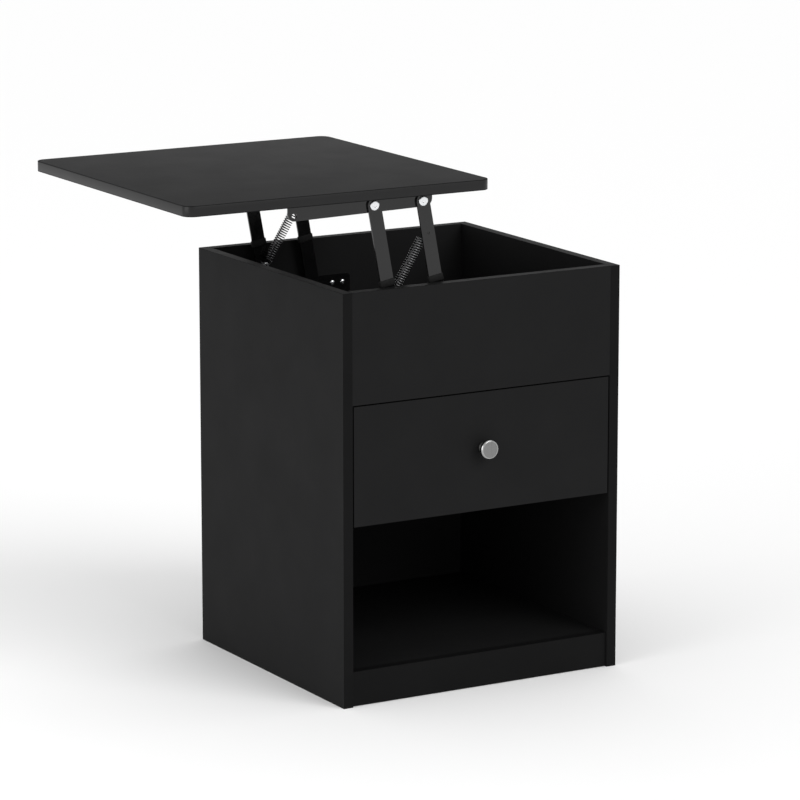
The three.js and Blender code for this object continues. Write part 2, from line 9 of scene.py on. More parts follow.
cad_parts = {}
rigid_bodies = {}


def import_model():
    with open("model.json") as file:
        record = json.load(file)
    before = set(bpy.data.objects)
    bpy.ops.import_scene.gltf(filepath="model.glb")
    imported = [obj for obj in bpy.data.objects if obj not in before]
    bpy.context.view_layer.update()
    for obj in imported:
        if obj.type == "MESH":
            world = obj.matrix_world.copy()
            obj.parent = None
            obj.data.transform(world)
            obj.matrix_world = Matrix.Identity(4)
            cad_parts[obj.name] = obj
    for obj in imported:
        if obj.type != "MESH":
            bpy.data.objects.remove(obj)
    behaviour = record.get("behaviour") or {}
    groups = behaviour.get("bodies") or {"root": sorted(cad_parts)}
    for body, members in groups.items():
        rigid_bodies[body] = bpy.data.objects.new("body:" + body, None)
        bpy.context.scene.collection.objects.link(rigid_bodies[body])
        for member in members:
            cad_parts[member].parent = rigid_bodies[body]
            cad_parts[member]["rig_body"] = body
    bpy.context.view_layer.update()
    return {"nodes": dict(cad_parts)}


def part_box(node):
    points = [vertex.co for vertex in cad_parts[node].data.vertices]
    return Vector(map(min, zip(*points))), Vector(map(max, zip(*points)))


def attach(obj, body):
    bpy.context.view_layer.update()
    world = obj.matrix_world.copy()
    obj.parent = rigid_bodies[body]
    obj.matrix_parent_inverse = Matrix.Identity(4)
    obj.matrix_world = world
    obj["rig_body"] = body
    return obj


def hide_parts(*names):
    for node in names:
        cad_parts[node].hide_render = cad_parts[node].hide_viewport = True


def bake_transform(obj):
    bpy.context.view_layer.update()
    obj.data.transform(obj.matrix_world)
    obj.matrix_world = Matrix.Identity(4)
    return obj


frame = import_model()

MM = 0.001
NODES = frame["nodes"]
SIDES = ("left", "right")
# The walls that carry the lifts, each with the direction along Y that leads inwards from it.
ENDS = {"front": 1, "back": -1}


def centre(node):
    low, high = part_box(node)
    return (low + high) / 2


# ---- camera ----
CAMERA_TURN = math.radians(30.12)
CAMERA_TILT = math.radians(12.05)
CAMERA_DISTANCE = 5.931
CAMERA_TARGET = Vector((0.0868, -0.0448, 0.3875))
# The lens and the sensor are in millimetres, as the camera takes them.
CAMERA_LENS = 187.56
CAMERA_SENSOR = 36
CAMERA_NEAR = 0.1
CAMERA_FAR = 120


def add_camera():
    camera = bpy.data.objects.new("camera", bpy.data.cameras.new("camera"))
    bpy.context.scene.collection.objects.link(camera)
    looking = Vector((
        math.sin(CAMERA_TURN) * math.cos(CAMERA_TILT),
        math.cos(CAMERA_TURN) * math.cos(CAMERA_TILT),
        -math.sin(CAMERA_TILT),
    ))
    camera.location = CAMERA_TARGET - CAMERA_DISTANCE * looking
    camera.rotation_euler = (math.pi / 2 - CAMERA_TILT, 0, -CAMERA_TURN)
    camera.data.lens = CAMERA_LENS
    camera.data.sensor_width = CAMERA_SENSOR
    camera.data.clip_start = CAMERA_NEAR
    camera.data.clip_end = CAMERA_FAR
    bpy.context.scene.camera = camera


# ---- lights and floor ----
def add_sun(name, turn, height, strength, spread):
    """A soft sun that shines from `turn` degrees round from the front, `height` degrees up."""
    light = bpy.data.lights.new(name, "SUN")
    light.energy = strength
    light.angle = math.radians(spread)
    sun = bpy.data.objects.new(name, light)
    bpy.context.scene.collection.objects.link(sun)
    sun.rotation_euler = (math.radians(90 - height), 0, math.radians(turn))


def add_softbox(name, place, target, size, power):
    """A square soft light at a place, turned to shine at a target."""
    light = bpy.data.lights.new(name, "AREA")
    light.size = size
    light.energy = power
    box = bpy.data.objects.new(name, light)
    bpy.context.scene.collection.objects.link(box)
    box.location = place
    box.rotation_euler = (Vector(target) - Vector(place)).to_track_quat("-Z", "Y").to_euler()


def add_world(brightness):
    world = bpy.data.worlds.new("studio")
    world.use_nodes = True
    background = world.node_tree.nodes["Background"]
    background.inputs["Color"].default_value = (1, 1, 1, 1)
    background.inputs["Strength"].default_value = brightness
    bpy.context.scene.world = world


def add_floor(half, shade):
    """A square pale floor, `half` metres from its middle to each side."""
    mesh = bpy.data.meshes.new("floor")
    corners = [(-half, -half, 0), (half, -half, 0), (half, half, 0), (-half, half, 0)]
    mesh.from_pydata(corners, [], [(0, 1, 2, 3)])
    floor = bpy.data.objects.new("floor", mesh)
    bpy.context.scene.collection.objects.link(floor)
    material = bpy.data.materials.new("pale_floor")
    material.use_nodes = True
    surface = material.node_tree.nodes["Principled BSDF"]
    surface.inputs["Base Color"].default_value = (shade, shade, shade, 1)
    surface.inputs["Roughness"].default_value = 0.9
    surface.inputs["Specular IOR Level"].default_value = 0.0
    mesh.materials.append(material)


add_camera()
add_world(brightness=0.85)
add_sun("key", turn=20, height=35, strength=1.35, spread=40)
add_softbox("left_softbox", place=(-3, -0.6, 1.2), target=(0, 0, 0.35), size=2.2, power=34)
add_floor(half=60, shade=0.9)
bpy.context.scene.view_settings.view_transform = "Standard"


# ---- materials ----
class Finish:
    """A Principled material with helpers for its patterns, which follow the piece's own coordinates."""

    def __init__(self, name, colour, roughness, metallic=0.0, specular=0.5):
        self.material = bpy.data.materials.new(name)
        self.material.use_nodes = True
        self.tree = self.material.node_tree
        self.surface = self.tree.nodes["Principled BSDF"]
        self.surface.inputs["Base Color"].default_value = (*colour, 1)
        self.surface.inputs["Roughness"].default_value = roughness
        self.surface.inputs["Metallic"].default_value = metallic
        self.surface.inputs["Specular IOR Level"].default_value = specular
        self.place = self.tree.nodes.new("ShaderNodeTexCoord").outputs["Object"]
        self.relief = None

    def link(self, source, target):
        self.tree.links.new(source, target)

    def mapped(self, scale, shift=(0, 0, 0)):
        """The piece's coordinates, scaled along each axis and then shifted."""
        mapping = self.tree.nodes.new("ShaderNodeMapping")
        mapping.inputs["Location"].default_value = shift
        mapping.inputs["Scale"].default_value = scale
        self.link(self.place, mapping.inputs["Vector"])
        return mapping.outputs["Vector"]

    def noise(self, scale, detail, grain=0.5, place=None):
        texture = self.tree.nodes.new("ShaderNodeTexNoise")
        texture.inputs["Scale"].default_value = scale
        texture.inputs["Detail"].default_value = detail
        texture.inputs["Roughness"].default_value = grain
        self.link(place or self.place, texture.inputs["Vector"])
        return texture.outputs["Fac"]

    def cells(self, scale):
        texture = self.tree.nodes.new("ShaderNodeTexVoronoi")
        texture.inputs["Scale"].default_value = scale
        self.link(self.place, texture.inputs["Vector"])
        return texture.outputs["Distance"]

    def rings(self, axis, scale, detail):
        """Rings of noise round an axis along Y."""
        length = self.tree.nodes.new("ShaderNodeVectorMath")
        length.operation = "LENGTH"
        self.link(self.mapped((1, 0.05, 1), (-axis.x, 0, -axis.z)), length.inputs[0])
        texture = self.tree.nodes.new("ShaderNodeTexNoise")
        texture.noise_dimensions = "1D"
        texture.inputs["Scale"].default_value = scale
        texture.inputs["Detail"].default_value = detail
        self.link(length.outputs["Value"], texture.inputs["W"])
        return texture.outputs["Fac"]

    def ramp(self, source, dark, light, low=0.3, high=0.7):
        """Colour that runs from dark to light as the pattern runs from low to high."""
        node = self.tree.nodes.new("ShaderNodeValToRGB")
        node.color_ramp.elements[0].position = low
        node.color_ramp.elements[1].position = high
        node.color_ramp.elements[0].color = (*dark, 1)
        node.color_ramp.elements[1].color = (*light, 1)
        self.link(source, node.inputs["Fac"])
        self.link(node.outputs["Color"], self.surface.inputs["Base Color"])

    def gloss(self, source, smooth, rough):
        """Roughness that follows the pattern between two values."""
        node = self.tree.nodes.new("ShaderNodeMapRange")
        node.inputs["From Min"].default_value = 0.3
        node.inputs["From Max"].default_value = 0.7
        node.inputs["To Min"].default_value = smooth
        node.inputs["To Max"].default_value = rough
        self.link(source, node.inputs["Value"])
        self.link(node.outputs["Result"], self.surface.inputs["Roughness"])

    def bump(self, source, height, strength):
        """Adds the pattern to the surface's relief, with its height in metres."""
        node = self.tree.nodes.new("ShaderNodeBump")
        node.inputs["Strength"].default_value = strength
        node.inputs["Distance"].default_value = height
        self.link(source, node.inputs["Height"])
        if self.relief:
            self.link(self.relief, node.inputs["Normal"])
        self.relief = node.outputs["Normal"]
        self.link(self.relief, self.surface.inputs["Normal"])


def matte_board(name, dark, light, smooth, rough, specular):
    """Black melamine: a fine pearl embossing, faint clouds in the colour and smudges in the gloss."""
    finish = Finish(name, light, rough, specular=specular)
    finish.ramp(finish.noise(scale=9, detail=4, grain=0.6), dark, light, low=0.35, high=0.65)
    finish.gloss(finish.noise(scale=14, detail=5, grain=0.6), smooth, rough)
    finish.bump(finish.cells(scale=650), height=0.05 * MM, strength=0.25)
    finish.bump(finish.noise(scale=1600, detail=2), height=0.03 * MM, strength=0.35)
    return finish.material


def make_powder_coat():
    """Semi-gloss black powder coat with its orange peel."""
    dark, light = (0.0035, 0.0035, 0.0037), (0.0048, 0.0048, 0.005)
    finish = Finish("powder_coat", (0.004, 0.004, 0.0042), 0.16)
    finish.ramp(finish.noise(scale=40, detail=4), dark, light, low=0.35)
    finish.gloss(finish.noise(scale=60, detail=4), smooth=0.13, rough=0.19)
    finish.bump(finish.noise(scale=900, detail=2, grain=0.4), height=0.05 * MM, strength=0.2)
    return finish.material


def make_zinc():
    """Bright zinc plating, a little cloudy."""
    finish = Finish("bright_zinc", (0.86, 0.87, 0.88), 0.2, metallic=1.0)
    finish.ramp(finish.noise(scale=350, detail=4), dark=(0.74, 0.76, 0.79), light=(0.92, 0.92, 0.92))
    finish.gloss(finish.noise(scale=500, detail=4), smooth=0.14, rough=0.3)
    finish.bump(finish.noise(scale=2500, detail=2), height=0.01 * MM, strength=0.3)
    return finish.material


def make_spring_steel():
    """Bare dark spring wire."""
    finish = Finish("spring_steel", (0.13, 0.13, 0.133), 0.14, metallic=1.0)
    finish.ramp(finish.noise(scale=700, detail=3), dark=(0.1, 0.1, 0.103), light=(0.16, 0.16, 0.163))
    finish.gloss(finish.noise(scale=900, detail=3), smooth=0.1, rough=0.18)
    return finish.material


def make_slide_steel():
    """Galvanised sheet with its drawing lines along the slide."""
    finish = Finish("galvanised_slide", (0.5, 0.51, 0.52), 0.36, metallic=1.0)
    lines = finish.noise(scale=400, detail=4, place=finish.mapped((1, 0.02, 1)))
    finish.ramp(lines, dark=(0.42, 0.43, 0.44), light=(0.58, 0.59, 0.6))
    finish.gloss(finish.noise(scale=120, detail=4), smooth=0.28, rough=0.46)
    finish.bump(lines, height=0.02 * MM, strength=0.3)
    return finish.material


def make_nickel(name, dark, light, smooth, rough):
    """Nickel, brushed in rings round the knob's axis."""
    finish = Finish(name, light, rough, metallic=1.0)
    rings = finish.rings(centre("drawer_knob"), scale=4000, detail=2)
    finish.ramp(rings, dark, light)
    finish.gloss(rings, smooth, rough)
    finish.bump(rings, height=0.02 * MM, strength=0.25)
    return finish.material


def make_rubber():
    finish = Finish("black_rubber", (0.006, 0.006, 0.006), 0.8, specular=0.2)
    finish.gloss(finish.noise(scale=300, detail=3), smooth=0.7, rough=0.9)
    finish.bump(finish.noise(scale=1500, detail=3), height=0.04 * MM, strength=0.4)
    return finish.material


def make_hardboard():
    """Dark hardboard with its short fibres."""
    dark, light = (0.02, 0.016, 0.013), (0.045, 0.036, 0.03)
    finish = Finish("hardboard", (0.03, 0.024, 0.02), 0.8, specular=0.2)
    fibres = finish.noise(scale=260, detail=5, grain=0.7, place=finish.mapped((1, 0.25, 1)))
    finish.ramp(fibres, dark, light, low=0.35, high=0.65)
    finish.bump(fibres, height=0.08 * MM, strength=0.4)
    return finish.material


BLACK = (0.0085, 0.0085, 0.0087)
SOFT_BLACK = (0.0095, 0.0095, 0.0097)
# The darker pair of blacks is the edge bands' own tone. On the plinth it is painted shade that darkens the
# low, recessed board.
BAND_AND_PLINTH_SHADE_BLACK = (0.0048, 0.0048, 0.0049)
SOFT_BAND_AND_PLINTH_SHADE_BLACK = (0.0056, 0.0056, 0.0057)
laminate = matte_board(
    "matte_black_melamine", BLACK, SOFT_BLACK, smooth=0.57, rough=0.63, specular=0.06,
)
lid_laminate = matte_board("lid_melamine", BLACK, SOFT_BLACK, smooth=0.53, rough=0.57, specular=0.042)
banding_and_plinth_shade = matte_board(
    "banding_and_plinth_shade", BAND_AND_PLINTH_SHADE_BLACK, SOFT_BAND_AND_PLINTH_SHADE_BLACK, smooth=0.5, rough=0.58, specular=0.05,
)
lid_banding = matte_board("lid_edge_banding", BLACK, SOFT_BLACK, smooth=0.27, rough=0.33, specular=0.22)
drawer_foil = matte_board("drawer_foil", BLACK, SOFT_BLACK, smooth=0.6, rough=0.72, specular=0.08)
powder_coat = make_powder_coat()
zinc = make_zinc()
spring_steel = make_spring_steel()
slide_steel = make_slide_steel()
nickel = make_nickel(
    "satin_nickel", dark=(0.19, 0.19, 0.188), light=(0.25, 0.25, 0.248), smooth=0.2, rough=0.3,
)
# The knob's rim is smoother nickel, and its lighter colour is a painted highlight.
polished_nickel_painted_highlight = make_nickel(
    "polished_nickel_painted_highlight", dark=(0.34, 0.34, 0.338), light=(0.42, 0.42, 0.417), smooth=0.1, rough=0.18,
)
# The knob's neck is painted shade: a darker, duller copy of the nickel.
dull_nickel_painted_shade = make_nickel(
    "dull_nickel_painted_shade", dark=(0.04, 0.04, 0.039), light=(0.06, 0.06, 0.059), smooth=0.36, rough=0.46,
)
rubber = make_rubber()
hardboard = make_hardboard()


# ---- carried-over CAD pieces ----
BOARD_EDGE = 0.5 * MM
HARDBOARD_EDGE = 0.2 * MM
SLIDE_EDGE = 0.25 * MM
STEEL_EDGE = 0.35 * MM
SHARP_DEGREES = 50


def soften(piece, width, segments):
    """Breaks a piece's edges, and hands back the modifier that does it."""
    bevel = piece.modifiers.new("edges", "BEVEL")
    bevel.width = width
    bevel.segments = segments
    return bevel


def dress(node, material, edge):
    """Gives a CAD node its finish and breaks its sharp edges."""
    piece = NODES[node]
    piece.data.materials.clear()
    piece.data.materials.append(material)
    bevel = soften(piece, edge, segments=3)
    bevel.limit_method = "ANGLE"
    bevel.angle_limit = math.radians(SHARP_DEGREES)
    bevel.harden_normals = True


def dress_cad_nodes():
    for node in (
        "side_panel_left", "side_panel_right", "back_panel", "upper_front_panel",
        "storage_floor", "bottom_shelf", "drawer_front",
    ):
        dress(node, laminate, BOARD_EDGE)
    # The plinth takes the edge bands' darker black as painted shade for its low, recessed place.
    dress("plinth", banding_and_plinth_shade, BOARD_EDGE)
    for node in ("drawer_side_left", "drawer_side_right", "drawer_back"):
        dress(node, drawer_foil, BOARD_EDGE)
    dress("drawer_bottom", hardboard, HARDBOARD_EDGE)
    for side in SIDES:
        dress(f"slide_rail_{side}", slide_steel, SLIDE_EDGE)
        dress(f"slide_runner_{side}", slide_steel, SLIDE_EDGE)
    for end in ENDS:
        for node in ("base_bracket", "lid_rail", "lift_arm_left", "lift_arm_right"):
            dress(f"{node}_{end}", powder_coat, STEEL_EDGE)


# ---- building new pieces ----
# The most of a side that the rounding of one of its corners may take up.
ROUNDING_SHARE = 0.45


def finish_piece(name, mesh, material, body, place=None):
    """Adds a piece to the scene. The material is for a mesh that has none yet."""
    piece = bpy.data.objects.new(name, mesh)
    bpy.context.scene.collection.objects.link(piece)
    if not mesh.materials:
        mesh.materials.append(material)
    if place:
        piece.matrix_world = place
    if body:
        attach(piece, body)
    return piece


def smooth(mesh, angle):
    """Smooth shading, with the edges sharper than an angle in degrees left crisp."""
    mesh.shade_smooth()
    mesh.set_sharp_from_angle(angle=math.radians(angle))


def evaluated_mesh(item):
    """A new mesh of an object as its curve or modifiers make it."""
    bpy.context.view_layer.update()
    return bpy.data.meshes.new_from_object(item.evaluated_get(bpy.context.evaluated_depsgraph_get()))


def rounded(points, radius, steps=4):
    """The open outline with its inner corners rounded, as far as their sides allow."""
    out = [points[0]]
    for before, corner, after in zip(points, points[1:], points[2:]):
        before, corner, after = Vector(before), Vector(corner), Vector(after)
        to_before, to_after = before - corner, after - corner
        reach = min(radius, ROUNDING_SHARE * to_before.length, ROUNDING_SHARE * to_after.length)
        start = corner + reach * to_before.normalized()
        end = corner + reach * to_after.normalized()
        for step in range(steps + 1):
            t = step / steps
            out.append(tuple((1 - t) ** 2 * start + 2 * t * (1 - t) * corner + t * t * end))
    out.append(points[-1])
    return out


def turned_mesh(name, outline, sides):
    """A solid of revolution about Z. Its outline is (radius, height) pairs from axis to axis, going up."""
    vertices, rings = [], []
    for radius, height in outline:
        if radius == 0:
            rings.append([len(vertices)])
            vertices.append((0, 0, height))
            continue
        rings.append(list(range(len(vertices), len(vertices) + sides)))
        for side in range(sides):
            angle = 2 * math.pi * side / sides
            vertices.append((radius * math.cos(angle), radius * math.sin(angle), height))
    faces = []
    for lower, upper in zip(rings, rings[1:]):
        for side in range(sides):
            following = (side + 1) % sides
            if len(lower) == 1:
                faces.append((lower[0], upper[following], upper[side]))
            elif len(upper) == 1:
                faces.append((lower[side], lower[following], upper[0]))
            else:
                faces.append((lower[side], lower[following], upper[following], upper[side]))
    mesh = bpy.data.meshes.new(name)
    mesh.from_pydata(vertices, [], faces)
    smooth(mesh, angle=40)
    return mesh


def grown_rectangle(left, right, front, back, grow, steps):
    """The outline of a rectangle grown outwards by a distance, which makes its corners round."""
    points = []
    for x, y, start in ((right, front, -90), (right, back, 0), (left, back, 90), (left, front, 180)):
        for step in range(steps + 1):
            angle = math.radians(start + 90 * step / steps)
            points.append((x + grow * math.cos(angle), y + grow * math.sin(angle)))
    return points


def stacked(name, levels, closed):
    """A solid of outlines stacked in the order given. Closed levels meet end to end as a ring."""
    vertices, faces = [], []
    count = len(levels[0][0])
    for outline, height in levels:
        vertices += [(x, y, height) for x, y in outline]
    rows = len(levels)
    for row in range(rows if closed else rows - 1):
        following = (row + 1) % rows
        for i in range(count):
            j = (i + 1) % count
            faces.append((row * count + i, row * count + j, following * count + j, following * count + i))
    if not closed:
        faces.append(tuple(range(count - 1, -1, -1)))
        faces.append(tuple(range((rows - 1) * count, rows * count)))
    mesh = bpy.data.meshes.new(name)
    mesh.from_pydata(vertices, [], faces)
    smooth(mesh, angle=35)
    return mesh


def facing(direction, point):
    """A placement that turns +Z to a direction and puts the origin at a point."""
    turn = Vector((0, 0, 1)).rotation_difference(Vector(direction)).to_matrix().to_4x4()
    return Matrix.Translation(point) @ turn


def body_of(node):
    return NODES[node]["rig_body"]


def extreme(node, direction):
    """The point of a CAD node's box that lies furthest along an axis direction, on the box's middle line."""
    low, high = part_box(node)
    middle = (low + high) / 2
    half = (high - low) / 2
    return middle + Vector(half[i] * direction[i] for i in range(3))


# ---- screws ----
SCREW_HEAD_RADIUS = 3.8 * MM
SCREW_HEAD = 2.2 * MM
SCREW_HEAD_RIM = 0.9 * MM
SCREW_RADIUS = 1.8 * MM
SCREW_LENGTH = 12 * MM
SCREW_TIP = 2 * MM
SCREW_POINT_RADIUS = 0.4 * MM
SCREW_POINT = 0.3 * MM
SCREW_PLAIN = 1 * MM
THREAD_PITCH = 1.5 * MM
THREAD_DEPTH = 0.35 * MM
# How much further each screw was turned than the one before it, in radians.
SCREW_TURN = 0.7
CROSS_TAPER = 0.45


def screw_outline():
    """From the tip up to the middle of the head, whose top is at height 0."""
    under_head = -SCREW_HEAD
    tip = under_head - SCREW_LENGTH
    core = SCREW_RADIUS - THREAD_DEPTH
    outline = [(0, tip), (SCREW_POINT_RADIUS, tip + SCREW_POINT)]
    thread_start = tip + SCREW_TIP
    turns = int((SCREW_LENGTH - SCREW_TIP - SCREW_PLAIN) / THREAD_PITCH)
    for turn in range(turns):
        base = thread_start + turn * THREAD_PITCH
        outline.append((core, base))
        outline.append((SCREW_RADIUS, base + 0.5 * THREAD_PITCH))
    outline.append((core, thread_start + turns * THREAD_PITCH))
    outline.append((core, under_head))
    head = [
        (core, under_head),
        (SCREW_HEAD_RADIUS, under_head),
        (SCREW_HEAD_RADIUS, under_head + SCREW_HEAD_RIM),
        (0.75 * SCREW_HEAD_RADIUS, -0.35 * MM),
        (0.35 * SCREW_HEAD_RADIUS, 0),
        (0, 0),
    ]
    return outline + rounded(head, radius=0.6 * MM)[1:]


def cross_cutter(reach, width, depth):
    """A tapered cross-shaped plug that points down from just above height 0."""
    above = 0.3 * MM
    half = width / 2
    ring = [
        (half, half), (half, reach), (-half, reach), (-half, half), (-reach, half), (-reach, -half),
        (-half, -half), (-half, -reach), (half, -reach), (half, -half), (reach, -half), (reach, half),
    ]
    vertices = [(x, y, above) for x, y in ring]
    vertices += [(x * CROSS_TAPER, y * CROSS_TAPER, -depth) for x, y in ring]
    count = len(ring)
    faces = [tuple(range(count - 1, -1, -1)), tuple(range(count, 2 * count))]
    for i in range(count):
        j = (i + 1) % count
        faces.append((i, j, count + j, count + i))
    mesh = bpy.data.meshes.new("cross_cutter")
    mesh.from_pydata(vertices, [], [tuple(reversed(face)) for face in faces])
    return mesh


def carved(name, mesh, cutter_mesh):
    """The mesh with the cutter's shape taken out of it."""
    blank = bpy.data.objects.new(name, mesh)
    cutter = bpy.data.objects.new("cutter", cutter_mesh)
    for item in (blank, cutter):
        bpy.context.scene.collection.objects.link(item)
    boolean = blank.modifiers.new("cut", "BOOLEAN")
    boolean.operation = "DIFFERENCE"
    boolean.solver = "EXACT"
    boolean.object = cutter
    result = evaluated_mesh(blank)
    result.name = name
    for item in (blank, cutter):
        bpy.data.objects.remove(item)
    smooth(result, angle=35)
    return result


def screw_heads():
    """Every wood screw's node, with the direction that its head faces."""
    heads = {}
    for end, inward in ENDS.items():
        for side in ("left", "middle", "right"):
            heads[f"bracket_screw_{side}_{end}"] = Vector((0, inward, 0))
        for number in (1, 2):
            heads[f"rail_screw_{number}_{end}"] = Vector((0, 0, -1))
    for side, inward in (("left", 1), ("right", -1)):
        for number in (1, 2):
            heads[f"slide_screw_{side}_{number}"] = Vector((inward, 0, 0))
    return heads


def add_screws():
    cross = cross_cutter(reach=2.1 * MM, width=0.75 * MM, depth=1.3 * MM)
    blank = turned_mesh("screw_blank", screw_outline(), sides=32)
    mesh = carved("cross_head_screw", blank, cross)
    for count, (node, direction) in enumerate(screw_heads().items()):
        spin = Matrix.Rotation(SCREW_TURN * count, 4, "Z")
        place = facing(direction, extreme(node, direction)) @ spin
        piece = finish_piece(f"{node}_detailed", mesh, zinc, body_of(node), place)
        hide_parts(node)


# ---- rivets and pins ----
BRACKET_THICKNESS = 2 * MM
# From the bracket's face to the arm's.
ARM_OFFSET = 7.5 * MM
# The ends of the lower rivets stand this far off the wall that the bracket is on.
RIVET_OFF_WALL = 0.3 * MM

RIVET_RADIUS = 3 * MM
RIVET_HEAD_RADIUS = 7 * MM
RIVET_HEAD = 1.8 * MM
RIVET_RIM_TOP = -1 * MM
RIVET_BROW_RADIUS = 5.6 * MM
RIVET_BROW_TOP = -0.25 * MM
RIVET_CROWN_RADIUS = 2.6 * MM
RIVET_DIMPLE_RADIUS = 2 * MM
RIVET_DIMPLE = 0.35 * MM
RIVET_SHOULDER_RADIUS = 6 * MM
RIVET_TAIL_RADIUS = 5 * MM
RIVET_TAIL = 1.5 * MM
RIVET_TAIL_FLAT_RADIUS = 3.6 * MM
RIVET_TAIL_CHAMFER = 0.6 * MM

SPRING_PIN_RADIUS = 2.5 * MM
SPRING_PIN_HEAD_RADIUS = 3.8 * MM
SPRING_PIN_HEAD = 1 * MM
SPRING_PIN_END_RADIUS = 1.5 * MM
SPRING_PIN_END = 2.5 * MM
SPRING_PIN_PAINTED = 1.5 * MM

STOP_PIN_RADIUS = 3 * MM
STOP_PIN_END_RADIUS = 2 * MM
STOP_PIN_END = 2 * MM


def add_turned(node, outline, direction, material=zinc, sides=48, zones=()):
    """Replaces a turned CAD node by a finer one. Its outline's highest point is height 0. Zones with a
    material of their own are listed from the lowest up, each by the height where it ends."""
    mesh = turned_mesh(f"{node}_turned", outline, sides)
    mesh.materials.append(material)
    for _, zone_material in zones:
        mesh.materials.append(zone_material)
    for face in mesh.polygons:
        for index, (top, _) in enumerate(zones, start=1):
            if face.center.z < top:
                face.material_index = index
                break
    place = facing(direction, extreme(node, direction))
    piece = finish_piece(f"{node}_detailed", mesh, material, body_of(node), place)
    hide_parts(node)


def node_length(node):
    low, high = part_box(node)
    return high.y - low.y


def rivet_head():
    """The side of a rivet's domed head, from the shank to the dome's brow."""
    return [
        (RIVET_RADIUS, -RIVET_HEAD),
        (RIVET_HEAD_RADIUS, -RIVET_HEAD),
        (RIVET_HEAD_RADIUS, RIVET_RIM_TOP),
        (RIVET_BROW_RADIUS, RIVET_BROW_TOP),
    ]


def upper_rivet_outline(length):
    """A wide dimpled head in front of the arm and a smaller formed tail behind the rail. The hidden shank
    widens from the tail up to the head."""
    head = rivet_head() + [
        (RIVET_CROWN_RADIUS, -0.02 * MM),
        (RIVET_DIMPLE_RADIUS, -RIVET_DIMPLE),
        (0, -RIVET_DIMPLE),
    ]
    tail = [
        (0, -length),
        (RIVET_TAIL_FLAT_RADIUS, -length),
        (RIVET_TAIL_RADIUS, -length + RIVET_TAIL_CHAMFER),
        (RIVET_TAIL_RADIUS, -length + RIVET_TAIL),
        (RIVET_RADIUS, -length + RIVET_TAIL),
    ]
    return rounded(tail, radius=0.5 * MM) + rounded(head, radius=0.6 * MM)[1:]


def lower_rivet_outline(length):
    """A domed head on the arm with its top at height 0, a shoulder that meets the arm's back and keeps it
    off the bracket, and the end that goes through the bracket."""
    shoulder_base = -length + BRACKET_THICKNESS
    shoulder_top = shoulder_base + ARM_OFFSET - RIVET_OFF_WALL
    points = [
        (0, -length),
        (RIVET_RADIUS, -length),
        (RIVET_RADIUS, shoulder_base),
        (RIVET_SHOULDER_RADIUS, shoulder_base),
        (RIVET_SHOULDER_RADIUS, shoulder_top),
        (RIVET_RADIUS, shoulder_top),
        *rivet_head(),
        (RIVET_CROWN_RADIUS, 0),
        (0, 0),
    ]
    return rounded(points, radius=0.4 * MM)


def spring_pin_outline(length):
    """A grooved pin: a flat head at height 0 keeps the hook on, and a reduced end is riveted into the arm."""
    end_top = -length + SPRING_PIN_END
    points = [
        (0, -length),
        (SPRING_PIN_END_RADIUS, -length),
        (SPRING_PIN_END_RADIUS, end_top),
        (SPRING_PIN_RADIUS, end_top),
        (SPRING_PIN_RADIUS, -SPRING_PIN_HEAD),
        (SPRING_PIN_HEAD_RADIUS, -SPRING_PIN_HEAD),
        (SPRING_PIN_HEAD_RADIUS, 0),
        (0, 0),
    ]
    return rounded(points, radius=0.3 * MM)


def stop_pin_outline(length):
    end_top = -length + STOP_PIN_END
    points = [
        (0, -length),
        (STOP_PIN_END_RADIUS, -length),
        (STOP_PIN_END_RADIUS, end_top),
        (STOP_PIN_RADIUS, end_top),
        (STOP_PIN_RADIUS, 0),
        (0, 0),
    ]
    return rounded(points, radius=0.4 * MM)


def add_pins():
    for end, inward in ENDS.items():
        outward, inwards = Vector((0, -inward, 0)), Vector((0, inward, 0))
        for side in SIDES:
            node = f"upper_rivet_{side}_{end}"
            add_turned(node, upper_rivet_outline(node_length(node)), outward)
            node = f"lower_rivet_{side}_{end}"
            add_turned(node, lower_rivet_outline(node_length(node)), inwards)
            node = f"spring_pin_{side}_{end}"
            length = node_length(node)
            painted = [(-length + SPRING_PIN_PAINTED, powder_coat)]
            add_turned(node, spring_pin_outline(length), inwards, sides=32, zones=painted)
        node = f"stop_pin_{end}"
        add_turned(node, stop_pin_outline(node_length(node)), inwards, sides=32)


# ---- knob ----
KNOB_REACH = 20 * MM
KNOB_RADIUS = 14 * MM
KNOB_FOOT_RADIUS = 8 * MM
KNOB_BORE_RADIUS = 2.3 * MM
KNOB_BORE = 10 * MM
KNOB_NECK_TOP = -8 * MM
KNOB_RIM_INNER_TOP = -0.35 * MM
KNOB_SCREW_RADIUS = 2 * MM
KNOB_SCREW_HEAD_RADIUS = 4.5 * MM
KNOB_SCREW_HEAD = 2.5 * MM


def knob_outline():
    """From the bore's end, round a flat foot and a waist, to a stepped face with its top at height 0."""
    foot = -KNOB_REACH
    points = [
        (0, foot + KNOB_BORE),
        (KNOB_BORE_RADIUS, foot + KNOB_BORE),
        (KNOB_BORE_RADIUS, foot),
        (KNOB_FOOT_RADIUS, foot),
        (KNOB_FOOT_RADIUS, foot + 1.6 * MM),
        (6.3 * MM, foot + 3.4 * MM),
        (6.1 * MM, foot + 8 * MM),
        (8.4 * MM, foot + 11 * MM),
        (13 * MM, -6.6 * MM),
        (KNOB_RADIUS, -5.4 * MM),
        (KNOB_RADIUS, -2.2 * MM),
        (12.6 * MM, -0.5 * MM),
        (11.4 * MM, KNOB_RIM_INNER_TOP),
        (7 * MM, -0.05 * MM),
        (0, 0),
    ]
    return rounded(points, radius=1.2 * MM, steps=5)


